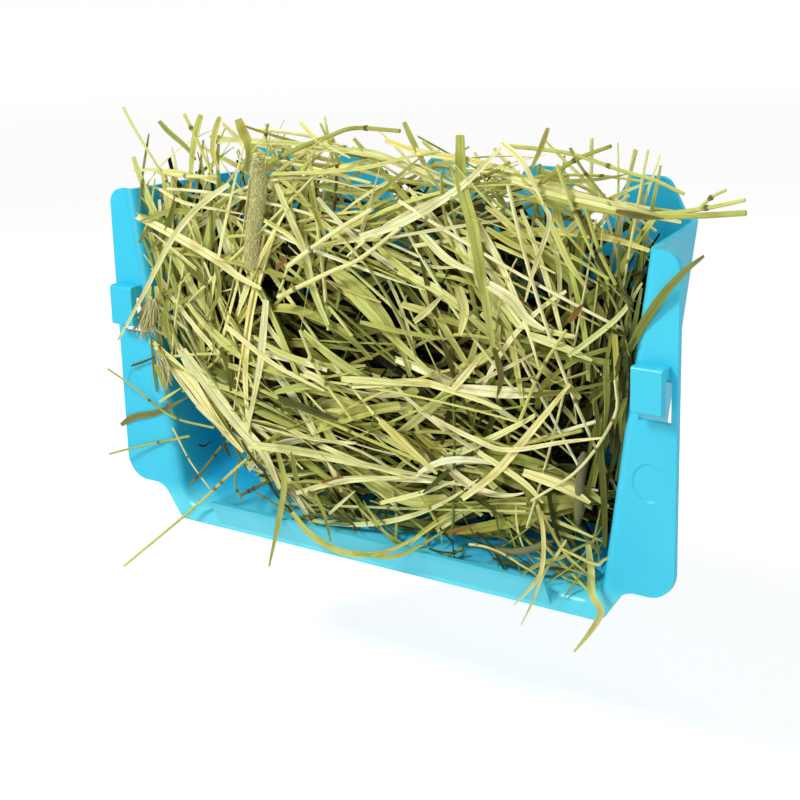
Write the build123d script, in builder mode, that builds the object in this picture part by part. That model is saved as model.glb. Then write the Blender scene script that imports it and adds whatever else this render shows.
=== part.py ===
from build123d import *
import math
import os
import random

os.makedirs("parts", exist_ok=True)

# Hay feeder box that hangs on one wire of a cage panel, with the hay it holds.
# Millimetres. The origin is the middle of the wire that both hooks sit on:
# +X runs along that wire, +Y from the cage panel into the box, +Z up.

# ---- Moulded box: driving dimensions ------------------------------------------------

wire_room = 3.2            # gap between hook tongue and flange, takes the cage wire
face_width = 245.2         # over both flanges
flange_top = 42.4          # above the wire
flange_bottom = -75.1
flange_thickness = 2.2
flange_top_corner = 6.0
flange_bottom_corner = 9.5

wall = 2.0                 # bowl walls and floor
bay_depth = 51.4           # flange face to the inside of the back wall
flange_head = 11.2         # each flange's outer edge to the bay's side wall, at the flanges' top
flange_base = 27.5         # the same at the flanges' bottom edge
back_narrowing = 9.0       # each side wall leans in by this much towards the back
floor_front = -82.6        # floor height at the front edge
floor_slope = 30.0         # degrees, the floor climbs towards the back
heel_round = 20.0          # floor into back wall
bay_corner = 8.0           # side walls into floor and back wall
mouth_round = 4.5          # flange face into the side walls

lip_bottom = -88.1         # lower edge of the apron below the floor's front edge
flange_foot = 18.6         # lower edge of each flange, from its outer edge to the apron
lip_taper = 9.0            # each end of the apron draws in by this much to its lower edge
lip_inner_round = 8.0
lip_outer_round = 3.5
rim_top = -76.4            # top of the raised rim along the middle of the lip
rim_inset = 19.5           # each end of the apron's lower edge to the rim's end
rim_flare = 4.6            # the rim leans this far out in front of the flanges
rim_thickness = 2.2

crest_top = 55.4           # top of each crest on the back wall
crest_valley = 34.4
crest_pitch = 42.0
crest_side_room = 11.2     # at least this much between the outer crests and the side walls
crest_flat = 14.4          # straight top of a crest, before rounding
crest_flank = 29.0         # degrees from vertical
crest_round = 5.0
valley_round = 3.0
crest_foot_round = 2.0

hook_width = 11.0
hook_inset = 2.6           # flange's outer edge to the hook's outer side
hook_arm = 3.8             # material above the wire
hook_tongue = 3.0          # tongue thickness
hook_drop = 10.2           # tongue tip below the wire
hook_tip_round = 1.2
window_clearance = 0.5     # round the tongue, in the flange behind it
window_foot = 14.1         # window's lower edge below the wire

pin_radius = 6.1           # shallow round mark of an ejector pin in each flange
pin_depth = 0.4
pin_bevel = 0.7            # its sloping edge, across the flange
pin_inset = 9.3            # flange's outer edge to the mark's centre
pin_height = -35.3

# ---- Hay: driving dimensions --------------------------------------------------------

hay_seed = 7
lay_gap = 0.3              # between pieces that rest on each other, and to the box
panel_room = 2.4           # from the flanges to the stalks that pass out through the panel
stalk_size = 1.7           # stalk, across its flats
leaf_width = 4.4
leaf_thickness = 0.7
course_count = 11
course_back = 27.0         # depth of the rearmost course behind the wire
course_spacing = 12.0      # between neighbours in one course
course_slant = 1.1         # degrees, each piece strays from its course's direction
course_shift = 1.0         # and by this much from its place
stalk_length = (55.0, 130.0)
shortest_stalk = 24.0
end_gap = (4.0, 18.0)      # between pieces that lie end to end
course_headings = (18, -35, 62, -8, 40, -62, 5, -24, 78, 30, -48)  # degrees from +X, per course
heap_top = 74.0            # two courses in four reach this height above the wire
heap_shoulder = 56.0       # and the others this
crown_left = 70.0          # ends of the heap's level top, left and right of the middle
crown_right = 40.0
bare_corner_foot = 42.0    # the bay's lower left corner stays bare out to here at the floor
bare_corner_top = -26.0    # and up to here at the side wall
leaf_waist = 0.35          # where a leaf is widest, from its root
front_leaf_width = 5.5
front_leaf_lines = (       # root and tip of each leaf laid over the front, as (x, z)
    ((-99, -3), (-77, 42)),
    ((-96, -18), (-66, -45)),
    ((-28, 30), (48, -8)),
    ((14, -30), (88, -8)),
    ((-25, -12), (42, -58)),
)
bed_height = -38.0         # crown of the packed hay in the heel of the bay
bed_shoulder = -54.0       # its height at its ends
bed_half = 84.0            # half its width
bed_back_room = 2.0        # between the packed hay and the back wall
stray_lean = 3.0           # the longest strays lean out by this much more at their tips
head_x = -51.5             # timothy seed head, upright
head_foot = 18.0
head_length = 56.0
head_radius = 3.2
head_taper = 5.0           # each end draws in over this length
head_tip_radius = 1.4

# ---- Construction -------------------------------------------------------------------

overrun = 1.0              # cutting shapes run past the faces they cut
tiny = 1e-3                # picks what lies on a face

# ---- Derived places -----------------------------------------------------------------

saddle = wire_room / 2
face = saddle                          # the flanges' front face just clears the wire
face_back = face + flange_thickness
bay_back = face + bay_depth
edge = face_width / 2
opening_top_width = face_width - 2 * flange_head
opening_foot_width = face_width - 2 * flange_base
side_lean = (opening_top_width - opening_foot_width) / 2 / (flange_top - flange_bottom)
side_draft = back_narrowing / bay_depth
floor_rise = math.tan(math.radians(floor_slope))
hook_middle = edge - hook_inset - hook_width / 2
arm_top = saddle + hook_arm
lip_head_half = edge - flange_foot
lip_foot_half = lip_head_half - lip_taper
rim_half = lip_foot_half - rim_inset
back_half = opening_top_width / 2 - back_narrowing
crest_steps = math.floor((2 * (back_half - crest_side_room) - crest_flat) / crest_pitch + tiny)
bed_front = course_back + lay_gap


def bay_half_width(y, z):
    """Half the clear width between the side walls at a depth and a height."""
    return opening_top_width / 2 + side_lean * (z - flange_top) - side_draft * (y - face)


def floor_height(y):
    """Height of the floor's upper face at a depth, ahead of the heel."""
    return floor_front + floor_rise * (y - face)


def bay_form(grow, front, top):
    """The bay as a closed block, grown past its faces, from a front plane to a top level."""
    back = bay_back + grow
    floor_grow = grow * math.sqrt(1 + floor_rise**2)
    with BuildPart() as form:
        with BuildSketch(Plane.YZ) as side_view:
            with BuildLine():
                Polyline(
                    (front, top),
                    (back, top),
                    (back, floor_height(back) - floor_grow),
                    (front, floor_height(front) - floor_grow),
                    close=True,
                )
            make_face()
            heel = side_view.vertices().group_by(Axis.X)[-1].sort_by(Axis.Y)[0]
            fillet(heel, heel_round + grow)
        extrude(amount=face_width, both=True)
        for side in (-1, 1):
            top_corner = (side * opening_top_width / 2, face, flange_top)
            side_wall = Plane(origin=top_corner, z_dir=(side, side_draft, -side_lean))
            split(bisect_by=side_wall.offset(grow), keep=Keep.BOTTOM)
        sides = form.faces().group_by(Axis.X)
        lower = [e for e in sides[0].edges() + sides[-1].edges() if e.center().Z < top - overrun]
        fillet([e for e in lower if e.center().Y > front + tiny], bay_corner + grow)
    return form.part


# ---- Box: one moulding --------------------------------------------------------------

with BuildPart() as feeder_box:
    # Bowl and front flanges
    add(bay_form(wall, face_back - flange_thickness / 2, crest_top))
    with BuildSketch(Plane.XZ.offset(-face)) as front_outline:
        with BuildLine():
            Polyline(
                (-edge, flange_top),
                (edge, flange_top),
                (edge, flange_bottom),
                (lip_head_half, flange_bottom),
                (lip_foot_half, lip_bottom),
                (-lip_foot_half, lip_bottom),
                (-lip_head_half, flange_bottom),
                (-edge, flange_bottom),
                close=True,
            )
        make_face()
        fillet(front_outline.vertices().group_by(Axis.Y)[-1], flange_top_corner)
        for level, end, radius in (
            (1, edge, flange_bottom_corner),
            (0, lip_foot_half, lip_outer_round),
        ):
            row = front_outline.vertices().group_by(Axis.Y)[level]
            fillet([v for v in row if abs(abs(v.X) - end) < tiny], radius)
        neck = [v for v in front_outline.vertices() if abs(abs(v.X) - lip_head_half) < tiny]
        fillet(neck, lip_inner_round)
    extrude(amount=-flange_thickness)
    add(bay_form(0, face - overrun, crest_top + overrun), mode=Mode.SUBTRACT)

    # Level side walls, and crests along the back wall
    with BuildSketch(Plane.XZ) as crest_outline:
        with BuildLine():
            flank = (crest_top - crest_valley) * math.tan(math.radians(crest_flank))
            end_flank = (crest_top - flange_top) * math.tan(math.radians(crest_flank))
            outline = [(-edge, crest_top + overrun), (-edge, flange_top)]
            for i in range(crest_steps + 1):
                middle = (i - crest_steps / 2) * crest_pitch
                left = middle - crest_flat / 2
                right = middle + crest_flat / 2
                outline.append((left - flank, crest_valley) if i else (left - end_flank, flange_top))
                outline.append((left, crest_top))
                outline.append((right, crest_top))
                if i < crest_steps:
                    outline.append((right + flank, crest_valley))
            outline += [(right + end_flank, flange_top), (edge, flange_top), (edge, crest_top + overrun)]
            Polyline(*outline, close=True)
        make_face()
        for height, radius in ((crest_top, crest_round), (crest_valley, valley_round), (flange_top, crest_foot_round)):
            level = [v for v in crest_outline.vertices() if abs(v.Y - height) < tiny]
            fillet([v for v in level if abs(v.X) < edge - tiny], radius)
    extrude(amount=bay_back + wall + overrun, both=True, mode=Mode.SUBTRACT)

    # Soft edge from the flanges into the bay
    mouth = [
        e
        for e in feeder_box.edges()
        if abs(e.center().Y - face) < tiny
        and abs(abs(e.center().X) - bay_half_width(face, e.center().Z)) < tiny
        and e.length > flange_top
    ]
    fillet(mouth, mouth_round)

    # Raised rim along the middle of the lip, leaning out under the lowest wire
    with BuildSketch(Plane.YZ.offset(-rim_half)):
        with BuildLine():
            Polyline(
                (face, lip_bottom + lip_outer_round / 2),
                (face - rim_flare, rim_top),
                (face - rim_flare + rim_thickness, rim_top),
                (face_back, floor_front + floor_rise * flange_thickness / 2),
                (face_back, lip_bottom + lip_outer_round / 2),
                close=True,
            )
        make_face()
    extrude(amount=2 * rim_half)

    # Hooks, the windows that their cores leave, and the ejector pins' marks
    for side in (-1, 1):
        with BuildSketch(Plane.XZ.offset(-face)):
            with Locations((side * hook_middle, -window_foot / 2)):
                Rectangle(hook_width + 2 * window_clearance, window_foot)
        extrude(amount=-flange_thickness, mode=Mode.SUBTRACT)
        with BuildSketch(Plane.YZ.offset(side * hook_middle - hook_width / 2)) as hook_outline:
            with BuildLine():
                Line((face_back, 0), (face_back, arm_top))
                Line((face_back, arm_top), (-saddle - hook_tongue, arm_top))
                Line((-saddle - hook_tongue, arm_top), (-saddle - hook_tongue, -hook_drop))
                Line((-saddle - hook_tongue, -hook_drop), (-saddle, -hook_drop))
                Line((-saddle, -hook_drop), (-saddle, 0))
                RadiusArc((-saddle, 0), (saddle, 0), saddle)
                Line((saddle, 0), (face_back, 0))
            make_face()
            tongue_front = [v for v in hook_outline.vertices() if abs(v.X + saddle + hook_tongue) < tiny]
            fillet(tongue_front, hook_tip_round)
        extrude(amount=hook_width)
        pin_place = (side * (edge - pin_inset), face + pin_depth / 2, pin_height)
        with Locations(Location(pin_place, (90, 0, 0))):
            Cone(pin_radius, pin_radius + pin_bevel, pin_depth, mode=Mode.SUBTRACT)

# ---- Packed hay in the heel of the bay ----------------------------------------------

with BuildPart() as hay_bed:
    add(bay_form(-lay_gap, bed_front, bed_height + overrun))
    with BuildSketch(Plane.XZ.offset(-bed_front)):
        with BuildLine():
            crown = ThreePointArc((-bed_half, bed_shoulder), (0, bed_height), (bed_half, bed_shoulder))
            Polyline(crown @ 1, (bed_half, lip_bottom), (-bed_half, lip_bottom), crown @ 0)
        make_face()
    extrude(amount=-(bay_back - bed_back_room - bed_front), mode=Mode.INTERSECT)


# ---- Loose hay, laid in courses from the back of the bay to its mouth ----------------


def heap_outline(y, crown):
    """Convex outline of one course, anticlockwise from its left foot, as (x, z) points."""
    foot = floor_height(y) + lay_gap
    side_foot = foot + bay_corner
    return (
        (-bare_corner_foot, foot),
        (bay_half_width(y, foot) - bay_corner, foot),
        (bay_half_width(y, side_foot) - lay_gap, side_foot),
        (bay_half_width(y, flange_top) - lay_gap, flange_top),
        (crown_right, crown),
        (-crown_left, crown),
        (lay_gap - bay_half_width(y, flange_top), flange_top),
        (lay_gap - bay_half_width(y, bare_corner_top), bare_corner_top),
    )


def chord(x, z, dx, dz, outline, margin):
    """Where a line through (x, z) runs inside an outline, as distances along it."""
    low, high = -face_width, face_width
    for (ax, az), (bx, bz) in zip(outline, outline[1:] + outline[:1]):
        side = math.hypot(bx - ax, bz - az)
        nx, nz = (bz - az) / side, (ax - bx) / side
        rate = nx * dx + nz * dz
        room = nx * (ax - x) + nz * (az - z) - margin
        if rate > 0:
            high = min(high, room / rate)
        elif rate < 0:
            low = max(low, room / rate)
    return low, high


def stalk(x, y, z, dx, dz, length):
    """A straight stalk: a hexagonal rod with flats to its front and back."""
    with BuildSketch(Plane(origin=(x, y, z), x_dir=(-dz, 0, dx), z_dir=(dx, 0, dz))) as section:
        RegularPolygon(stalk_size / 2, 6, major_radius=False)
    return extrude(section.sketch, amount=length, mode=Mode.PRIVATE)


def leaf(x, y, z, dx, dz, length, width=leaf_width):
    """A flat leaf that is widest past its root and narrows to its tip."""
    with BuildSketch(Plane(origin=(x, y, z), x_dir=(dx, 0, dz), z_dir=(0, -1, 0))) as blade:
        with BuildLine():
            Polyline(
                (0, -width / 6),
                (length * leaf_waist, -width / 2),
                (length, 0),
                (length * leaf_waist, width / 2),
                (0, width / 6),
                close=True,
            )
        make_face()
    return extrude(blade.sketch, amount=leaf_thickness / 2, both=True, mode=Mode.PRIVATE)


draw = random.Random(hay_seed)
hay_front = course_back
hay_nodes = []
for i in range(course_count):
    is_leaf = i % 3 == 2
    piece, thickness, width = (leaf, leaf_thickness, leaf_width) if is_leaf else (stalk, stalk_size, stalk_size)
    depth = hay_front - thickness / 2
    outline = heap_outline(depth, heap_top if i % 4 < 2 else heap_shoulder)
    heading = course_headings[i % len(course_headings)]
    lines = math.ceil(face_width / course_spacing)
    pieces = []
    for j in range(lines):
        across = (j - (lines - 1) / 2) * course_spacing
        across += draw.uniform(-course_shift, course_shift)
        angle = math.radians(heading)
        x, z = -across * math.sin(angle), across * math.cos(angle)
        angle += math.radians(draw.uniform(-course_slant, course_slant))
        dx, dz = math.cos(angle), math.sin(angle)
        low, high = chord(x, z, dx, dz, outline, width / 2)
        start = low + draw.uniform(0, end_gap[1])
        while high - start > shortest_stalk:
            length = min(high - start, draw.uniform(*stalk_length))
            pieces.append(piece(x + dx * start, depth, z + dz * start, dx, dz, length))
            start += length + draw.uniform(*end_gap)
    with BuildPart() as course:
        add(pieces)
    course.part.label = f"hay_{'leaves' if is_leaf else 'stalks'}_{i + 1:02d}"
    hay_nodes.append(course.part)
    hay_front -= thickness + lay_gap

# ---- Leaves, stray stalks and a seed head at the front of the hay --------------------

with BuildPart() as hay_front_leaves:
    leaf_depth = hay_front - leaf_thickness / 2
    outline = heap_outline(leaf_depth, heap_top)
    for (x, z), (tip_x, tip_z) in front_leaf_lines:
        length = math.hypot(tip_x - x, tip_z - z)
        dx, dz = (tip_x - x) / length, (tip_z - z) / length
        low, high = chord(x, z, dx, dz, outline, front_leaf_width / 2)
        low, high = max(low, 0), min(high, length)
        add(leaf(x + dx * low, leaf_depth, z + dz * low, dx, dz, high - low, front_leaf_width))

# Strays come out of the bay above the lip, pass in front of the hooks, or stand over the top
inside = hay_front - stalk_size / 2
over_rim = face - rim_flare - lay_gap - stalk_size
past_panel = face - panel_room - stalk_size / 2
past_hooks = -saddle - hook_tongue - lay_gap - stalk_size


def by_wall(side, room, y, z):
    """A stray's point at a depth and a height, with this much room to the left or right side wall."""
    return side * (bay_half_width(inside, z) - room), y, z


stray_routes = (
    (
        (-46, inside, -43),
        (11.5 - rim_half, inside, -60),
        (-3.5 - rim_half, past_panel, rim_top + stalk_size),
        (-28.5 - rim_half, past_hooks, -96),
        (-43 - rim_half, past_hooks - stray_lean, -110),
    ),
    ((-40, inside, -28), (-42, inside, -55), (-44, over_rim, rim_top + stalk_size), (-45, over_rim, -98)),
    (
        by_wall(1, 16, inside, -34),
        by_wall(1, 8.5, inside, -58),
        by_wall(1, 2, past_panel, -77),
        by_wall(1, 2, past_panel - stray_lean, -97),
    ),
    (
        by_wall(1, 11.5, inside, -22),
        by_wall(1, 8, inside, 3),
        by_wall(1, 0.5, past_panel, 15),
        by_wall(1, -17, past_panel - stray_lean, 40),
    ),
    (by_wall(-1, 14, inside, 26), by_wall(-1, 0.5, inside, 73)),
    ((52, inside, 48), (102, inside, 55), (142, inside, 57)),
    ((26, inside, 22), (9, inside, 76)),
)
with BuildPart() as hay_strays:
    for route in stray_routes:
        with BuildLine(mode=Mode.PRIVATE) as path:
            Polyline(*route)
        with BuildSketch(Plane(origin=path.line @ 0, z_dir=path.line % 0), mode=Mode.PRIVATE) as section:
            RegularPolygon(stalk_size / 2, 6, major_radius=False)
        sweep(section.sketch, path=path.line, transition=Transition.RIGHT)

head_depth = hay_front - head_radius
with BuildPart() as timothy_head:
    with BuildSketch(Plane.XZ.offset(-head_depth)):
        with BuildLine():
            Polyline(
                (head_x, head_foot),
                (head_x + head_tip_radius, head_foot),
                (head_x + head_radius, head_foot + head_taper),
                (head_x + head_radius, head_foot + head_length - head_taper),
                (head_x + head_tip_radius, head_foot + head_length),
                (head_x, head_foot + head_length),
                close=True,
            )
        make_face()
    revolve(axis=Axis((head_x, head_depth, head_foot), (0, 0, 1)))

# ---- Export -------------------------------------------------------------------------

feeder_box.part.label = "feeder_box"
export_step(feeder_box.part, "parts/feeder_box.step")
hay_bed.part.label = "hay_bed"
export_step(hay_bed.part, "parts/hay_bed.step")
for node in hay_nodes:
    export_step(node, f"parts/{node.label}.step")
hay_front_leaves.part.label = "hay_front_leaves"
export_step(hay_front_leaves.part, "parts/hay_front_leaves.step")
hay_strays.part.label = "hay_strays"
export_step(hay_strays.part, "parts/hay_strays.step")
timothy_head.part.label = "timothy_head"
export_step(timothy_head.part, "parts/timothy_head.step")
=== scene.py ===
"""Looks of a hanging hay feeder box and the hay in it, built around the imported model."""

import math

import bpy
import numpy as np
from mathutils import Matrix, Vector


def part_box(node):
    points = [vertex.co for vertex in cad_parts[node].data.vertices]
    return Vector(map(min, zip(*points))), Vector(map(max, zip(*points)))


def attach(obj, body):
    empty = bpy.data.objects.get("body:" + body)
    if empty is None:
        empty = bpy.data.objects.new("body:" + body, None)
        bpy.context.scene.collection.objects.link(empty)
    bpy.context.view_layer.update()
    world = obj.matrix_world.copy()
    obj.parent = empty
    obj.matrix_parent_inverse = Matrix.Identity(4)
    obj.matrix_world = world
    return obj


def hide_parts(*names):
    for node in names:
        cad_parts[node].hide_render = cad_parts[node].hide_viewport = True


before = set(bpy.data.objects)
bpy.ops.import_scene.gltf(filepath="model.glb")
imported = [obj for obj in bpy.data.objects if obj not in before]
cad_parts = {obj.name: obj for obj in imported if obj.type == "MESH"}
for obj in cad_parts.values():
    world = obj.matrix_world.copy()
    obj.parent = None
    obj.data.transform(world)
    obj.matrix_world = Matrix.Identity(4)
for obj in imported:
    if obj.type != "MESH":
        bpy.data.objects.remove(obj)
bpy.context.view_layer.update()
MM = 0.001

# ---- Bay of the box and the room for the hay, in millimetres ----

FACE = 1.6  # depth of the flanges' front face behind the middle of the wire
BAY_BACK = 53.0
FLANGE_TOP = 42.4
FLANGE_BOTTOM = -75.1
OPENING_TOP_HALF = 111.4
OPENING_FOOT_HALF = 95.1
SIDE_LEAN = (OPENING_TOP_HALF - OPENING_FOOT_HALF) / (FLANGE_TOP - FLANGE_BOTTOM)
SIDE_DRAFT = 9.0 / 51.4
FLOOR_FRONT = -82.6
FLOOR_RISE = math.tan(math.radians(30.0))
BARE_FOOT = (-50.0, -80.0)  # the bay's lower left corner stays bare below the line through these
BARE_SIDE = (-108.0, -22.0)
BARE_LENGTH = math.dist(BARE_FOOT, BARE_SIDE)
BARE_NORMAL = ((BARE_SIDE[1] - BARE_FOOT[1]) / BARE_LENGTH, (BARE_FOOT[0] - BARE_SIDE[0]) / BARE_LENGTH)
CORNER_HEIGHT = 10.0  # the side walls round into the floor over this height
CORNER_INSET = 5.0
RIM_TOP = -76.4
RIM_NEAR = 9.0  # strands pass over the lip from this far above the rim's top,
RIM_CLEAR = -5.2  # and hang at this depth before it
RIM_BEHIND = 2.5
SPILL_LIMIT = 109.0  # leaves that lie on a flange reach no further to the side
SPILL_DEPTH = 0.9
HEAP_TOP = 74.0  # no loose stalk in the heap reaches higher
HEAP_DEPTH = 6.0  # the depth at which image positions in the heap are read
PIXELS_PER_MM = 2.9  # there
BED_FRONT = 27.0
BED_HALF = 84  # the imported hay's top falls by BED_FALL from the middle to here
BED_FALL = 16

# Start and reach of each change through the heap, counted the way that its name says
THINS_UP = (4, 34)
THINS_LEFT = (58, 30)
THINS_RIGHT = (84, 16)
FILLS_UP = (-70, 20)  # only right of the bare foot
# painted light: the heap is painted paler towards its top and its foot
PAINTED_LIGHT_UP = (8, 32)
PAINTED_LIGHT_DOWN = (42, 16)
FOOT_PAINTED_LIGHT = 0.36  # how much lighter the heap's foot is painted, as painted light
BARE_FOOT_END = -30
SPARSE_CORNER = (76, -14)  # few strands lie right of this place and below it
SPARSE_SHARE = 0.3

# ---- Camera and light ----

CAMERA_PLACE = (376.5, -495.5, 163.2)
CAMERA_AIM = (10.1, 6.4, -24.0)
CAMERA_ROLL = -1.524  # degrees
IMAGE_SIZE = 800  # pixels, square
FOCAL_PIXELS = 1815.9
SENSOR_WIDTH = 36.0
FLOOR_LEVEL = -150.0
FLOOR_RADIUS = 6.0  # metres, as all that follows here
FLOOR_GREY = 0.76
GLOW_REACH = (0.3, 2.2)  # the floor's glow grows with the distance
GLOW_STRENGTH = (0.46, 0.82)
SOFT_LIGHT = (1.0, 0.99, 0.975, 1)
SOFT_STRENGTH = 0.22
LAMPS = (
    # name, place, aim, size and watts
    ("key", (-0.35, -0.6, 0.68), (0, 0, 0), 0.26, 6.8),
    ("front", (0.3, -1.2, -0.1), (0, 0, -0.05), 0.8, 5.6),
    ("top", (0.1, 0.25, 1.2), (0, 0, 0), 0.7, 7),
    ("side", (1.2, 0.45, 0.25), (0.1, 0, 0), 0.7, 4),
)

# ---- Plastic: colours in sRGB, places in metres as the shader reads them ----

PLASTIC_FACE = ((46, 198, 232), (68, 212, 240))
# painted shade: a deeper blue that stands for the shade inside the bay
PLASTIC_PAINTED_SHADE = ((18, 162, 216), (32, 176, 226))
# painted light: a paler blue that stands for the light on the lip
PLASTIC_LIP_LIGHT = ((104, 226, 244), (124, 234, 248))
FLOW_STOPS = (0.3, 0.7)
BAY_CENTRE = (0.0, 0.027, -0.01)
SHADE_DEPTH = (0.004, 0.02)  # the painted shade comes in between these depths, where the surface looks at the bay's centre, and goes most of the way out between these heights
SHADE_TURN = (0.0, 0.004)  # where the surface looks at the bay's centre,
SHADE_HEIGHT = (0.01, 0.05)  # and goes most of the way out between these heights
SHADE_CREST_SHARE = 0.25
LIP_LIGHT_HEIGHT = (-0.074, -0.08)  # the lip is painted paler between these heights, as painted light
LIP_LIGHT_SHARE = 0.7
PLASTIC_ROUGHNESS = (0.24, 0.34)

# ---- Hay colours in sRGB ----

HAY_RAMP = (
    (12, 14, 6),
    (38, 42, 16),
    (92, 98, 38),
    (152, 158, 70),
    (206, 210, 112),
    (242, 240, 160),
    (254, 251, 204),
)
BROWN = (150, 104, 56)
OLIVE_BROWN = (118, 108, 52)
NODE_BROWN = (74, 50, 26)
HEAD_GREEN = (228, 230, 164)
HEAD_STRAW = (252, 240, 196)
BRISTLE = (232, 224, 160)
OLIVE_LEAF = (136, 132, 66)

# Which way the hay runs: image position, direction as seen (degrees, + up to the right), spread.
# Most of these directions are what a program measured in the image at the places of a grid.
HAY_GRAIN = (
    (150, 240, -66, 26), (172, 205, 50, 45), (235, 150, 68, 26),
    (300, 150, 20, 32), (380, 150, -4, 24), (470, 160, -16, 22),
    (560, 165, -16, 20), (640, 190, -10, 20), (205, 300, -80, 18),
    (172, 350, -66, 14), (235, 350, -68, 20), (205, 400, -53, 9),
    (250, 450, -50, 14), (240, 215, 60, 40), (300, 200, -64, 24),
    (300, 250, -24, 28), (365, 200, -4, 26), (365, 250, 22, 26),
    (430, 205, 18, 30), (430, 250, -32, 20), (300, 305, -26, 22),
    (365, 300, -26, 18), (430, 300, -8, 30), (495, 250, -54, 24),
    (495, 300, -44, 24), (560, 240, -76, 15), (598, 250, -86, 14),
    (560, 300, -52, 32), (625, 250, 80, 14), (645, 300, 62, 20),
    (300, 350, -28, 14), (365, 350, -24, 13), (430, 350, -12, 20),
    (495, 350, 14, 26), (560, 350, 20, 36), (625, 350, 66, 14),
    (300, 400, -22, 13), (365, 400, -14, 14), (430, 400, -18, 18),
    (495, 400, 6, 24), (560, 400, 46, 15), (625, 400, 80, 10),
    (300, 450, -18, 13), (365, 450, -8, 13), (430, 450, -20, 16),
    (495, 450, -18, 20), (560, 450, 14, 22), (625, 455, 72, 24),
    (300, 500, -22, 24), (365, 500, 0, 15), (430, 500, 8, 15),
    (495, 505, -16, 18), (560, 500, -14, 26), (625, 510, 42, 36),
)
# Dark hollows between the bundles: image position and radius in pixels
HOLLOWS = (
    (375, 318, 30), (350, 282, 18), (300, 338, 20), (382, 366, 28),
    (302, 288, 16), (428, 362, 18), (520, 240, 22), (540, 285, 18),
    (585, 330, 22), (600, 395, 22), (560, 408, 16), (576, 440, 15),
    (612, 440, 16), (620, 472, 20), (470, 522, 20), (455, 400, 13),
)

TOWARDS_PANEL = (0, -1, 0)
STALK_SHARE = 0.2
STALK_LENGTH = (45, 120)
LEAF_LENGTH = (25, 95)
TONE_SPREAD = 0.19
LEAF_THICKNESS = 0.16
STALK_TAPER = 0.8
JOINT_HALF = 0.9  # half the length of a stalk's swollen joint
CREASE_ANGLE = 48  # degrees
GRAIN_REACH = 13.0  # how far one entry of HAY_GRAIN is felt
HEAD_RINGS = 18
SPIKELET_SIDES = [(k + 1, (k + 1) % 4 + 1) for k in range(4)]
# Triangles, each with its last corner twice
SPIKELET_FACES = [(0, b, a, a) for a, b in SPIKELET_SIDES] + [(5, a, b, b) for a, b in SPIKELET_SIDES]

rng = np.random.default_rng(41)


def add_object(name, data):
    """Adds an object to the scene."""
    thing = bpy.data.objects.new(name, data)
    bpy.context.scene.collection.objects.link(thing)
    return thing


# ---- Camera ----


def camera_axes():
    """The camera's right, up and forward directions."""
    forward = (Vector(CAMERA_AIM) - Vector(CAMERA_PLACE)).normalized()
    right = forward.cross(Vector((0, 0, 1))).normalized()
    up = right.cross(forward)
    roll = math.radians(CAMERA_ROLL)
    return (
        right * math.cos(roll) + up * math.sin(roll),
        up * math.cos(roll) - right * math.sin(roll),
        forward,
    )


TOWARDS_CAMERA = -camera_axes()[2]


def add_camera():
    """The camera from which the tables' image positions are read."""
    right, up, forward = camera_axes()
    data = bpy.data.cameras.new("camera")
    data.sensor_width = SENSOR_WIDTH
    data.lens = FOCAL_PIXELS / IMAGE_SIZE * SENSOR_WIDTH
    data.clip_start = 0.01
    camera = add_object("camera", data)
    turn = Matrix((right, up, -forward)).transposed()
    camera.matrix_world = Matrix.Translation(Vector(CAMERA_PLACE) * MM) @ turn.to_4x4()
    bpy.context.scene.camera = camera


def seen_at(u, v, depth):
    """The point at a depth y, in millimetres, that the camera sees at image position (u, v)."""
    right, up, forward = camera_axes()
    half = IMAGE_SIZE / 2
    ray = forward * FOCAL_PIXELS + right * (u - half) - up * (v - half)
    place = Vector(CAMERA_PLACE)
    return np.array(place + ray * ((depth - place.y) / ray.y))


# ---- Materials ----


def linear(colour):
    """An sRGB colour, 0 to 255, in the linear values that Blender stores."""
    c = np.asarray(colour, float) / 255
    return np.where(c <= 0.04045, c / 12.92, ((c + 0.055) / 1.055) ** 2.4)


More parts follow.
